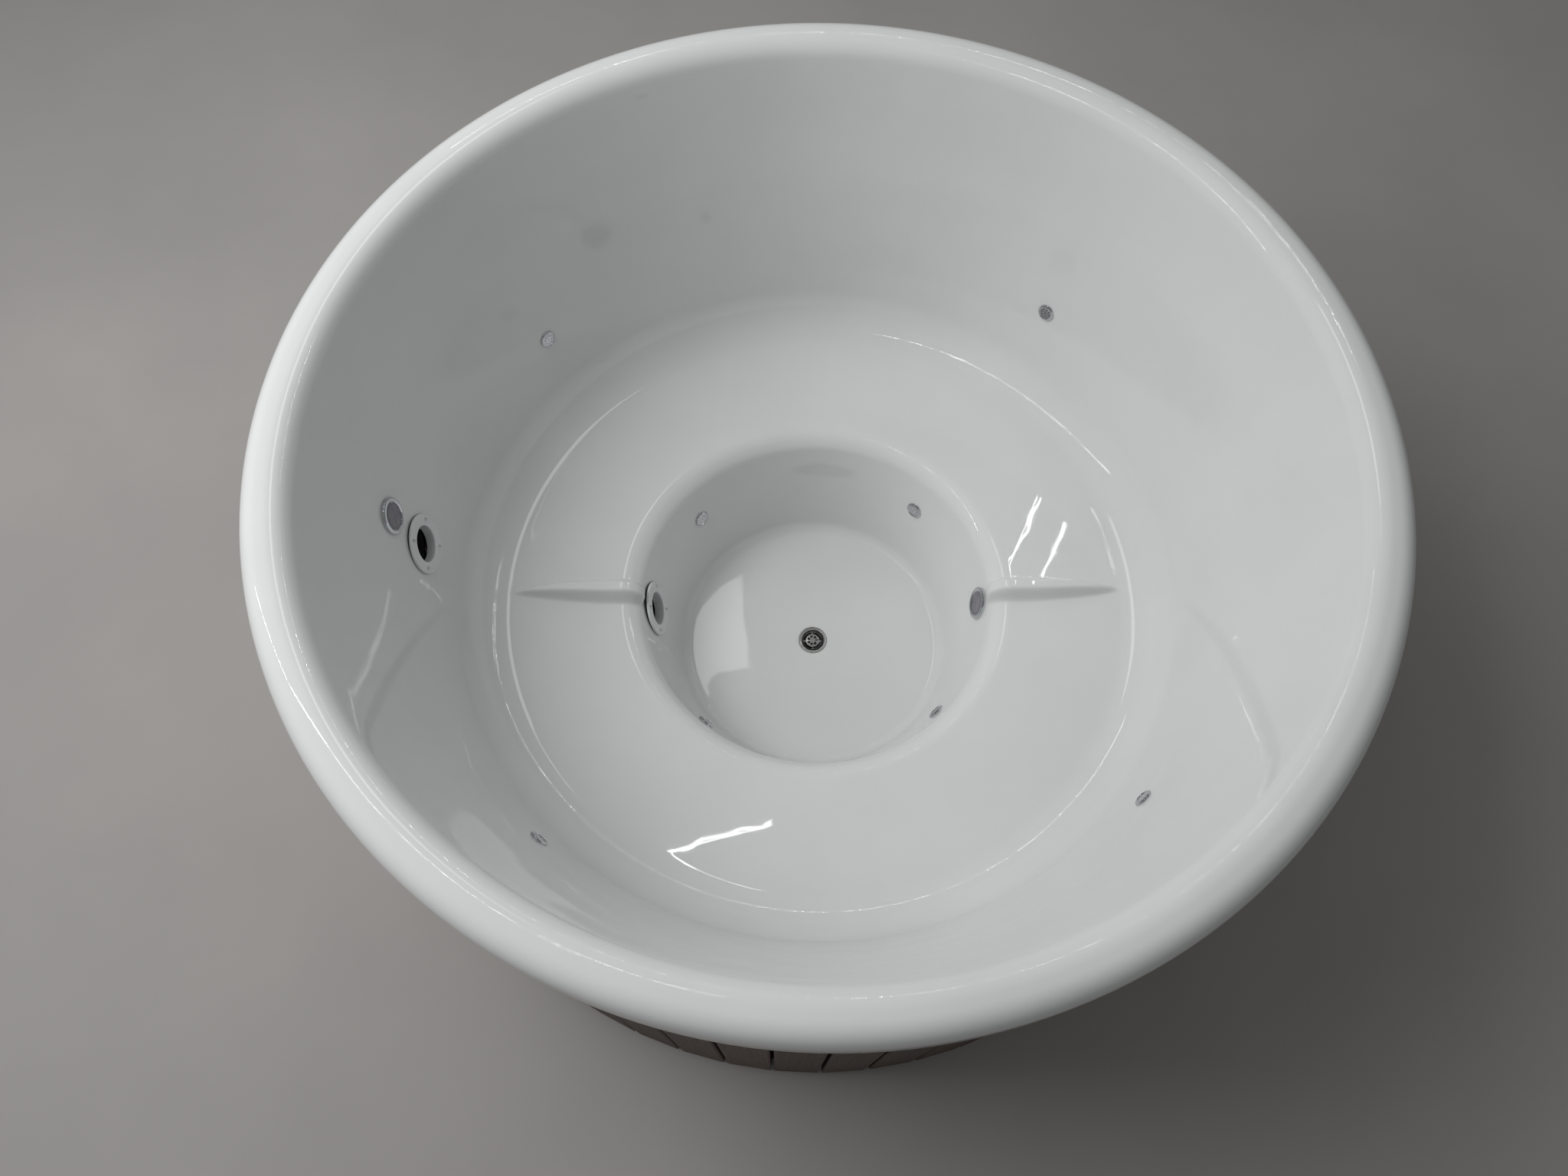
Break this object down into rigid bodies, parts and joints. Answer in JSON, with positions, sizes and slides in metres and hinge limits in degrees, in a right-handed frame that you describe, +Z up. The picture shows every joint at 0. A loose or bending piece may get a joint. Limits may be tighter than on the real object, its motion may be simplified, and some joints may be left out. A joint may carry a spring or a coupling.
{
  "type": "hot tub",
  "caption": "Round hot tub with a moulded shell, bench, foot well, two armrest ridges, air nozzles, lamps, drain valve and vertical wooden boards.",
  "frame": {"origin": "on the ground, under the middle of the tub", "axes": "+Z up along the tub's axis, -X towards the heater connections, -Y towards the front"},
  "size_m": [1.9998, 1.9998, 1.06],
  "materials": {
    "gelcoat": "glossy white gelcoat",
    "plywood": "film-faced plywood",
    "frame_timber": "planed softwood",
    "dark_wood": "brushed and stained dark brown",
    "white_plastic": "moulded, satin",
    "grey_plastic": "moulded pipe plastic",
    "black_plastic": "moulded, satin",
    "red_plastic": "dipped grip",
    "black_rubber": "matt",
    "steel": "stainless, brushed",
    "chrome": "bright plated",
    "dark_metal": "painted casting",
    "lens": "ribbed translucent lens"
  },
  "bodies": {
    "tub": {"shell": "gelcoat", "deck": "plywood", "rim_ring": "frame_timber", "bearer_1": "frame_timber", "bearer_2": "frame_timber", "bearer_3": "frame_timber", "bearer_4": "frame_timber", "post_1": "frame_timber", "post_2": "frame_timber", "post_3": "frame_timber", "post_4": "frame_timber", "cladding_front": "dark_wood", "cladding_right": "dark_wood", "cladding_rear": "dark_wood", "cladding_left": "dark_wood", "heater_flange_upper": "white_plastic", "heater_flange_lower": "white_plastic", "heater_seals": "black_rubber", "heater_screws": "steel", "heater_hose_upper": "black_rubber", "heater_hose_lower": "black_rubber", "drain_flange": "steel", "drain_grid": "steel", "drain_gasket": "black_rubber", "drain_nut": "white_plastic", "drain_elbow": "grey_plastic", "drain_pipe": "grey_plastic", "valve_body": "grey_plastic", "air_ring_upper": "grey_plastic", "air_ring_lower": "grey_plastic", "air_feed": "grey_plastic", "fan_casing": "black_plastic", "fan_motor": "dark_metal", "lamp_upper_body": "black_plastic", "lamp_upper_bezel": "chrome", "lamp_upper_lens": "lens", "nozzle_cap_upper_1": "chrome", "nozzle_body_upper_1": "grey_plastic", "nozzle_cap_upper_2": "chrome", "nozzle_body_upper_2": "grey_plastic", "nozzle_cap_upper_3": "chrome", "nozzle_body_upper_3": "grey_plastic", "nozzle_cap_upper_4": "chrome", "nozzle_body_upper_4": "grey_plastic", "lamp_lower_body": "black_plastic", "lamp_lower_bezel": "chrome", "lamp_lower_lens": "lens", "nozzle_cap_lower_1": "chrome", "nozzle_body_lower_1": "grey_plastic", "nozzle_cap_lower_2": "chrome", "nozzle_body_lower_2": "grey_plastic", "nozzle_cap_lower_3": "chrome", "nozzle_body_lower_3": "grey_plastic", "nozzle_cap_lower_4": "chrome", "nozzle_body_lower_4": "grey_plastic"},
    "drain_valve": {"valve_ball": "steel", "valve_stem": "steel", "valve_handle": "red_plastic"},
    "fan_rotor": {"fan_wheel": "black_plastic"}
  },
  "joints": [
    {"name": "drain_valve_turn", "type": "hinge", "parent": "tub", "child": "drain_valve", "pos_m": [0.72408, 0.72408, 0.038], "axis": [0, 0, 1], "range_deg": [0, 90]},
    {"name": "fan_spin", "type": "hinge", "parent": "tub", "child": "fan_rotor", "pos_m": [0.195, 0.552, 0.2483], "axis": [0, 0, 1], "continuous": true}
  ]
}
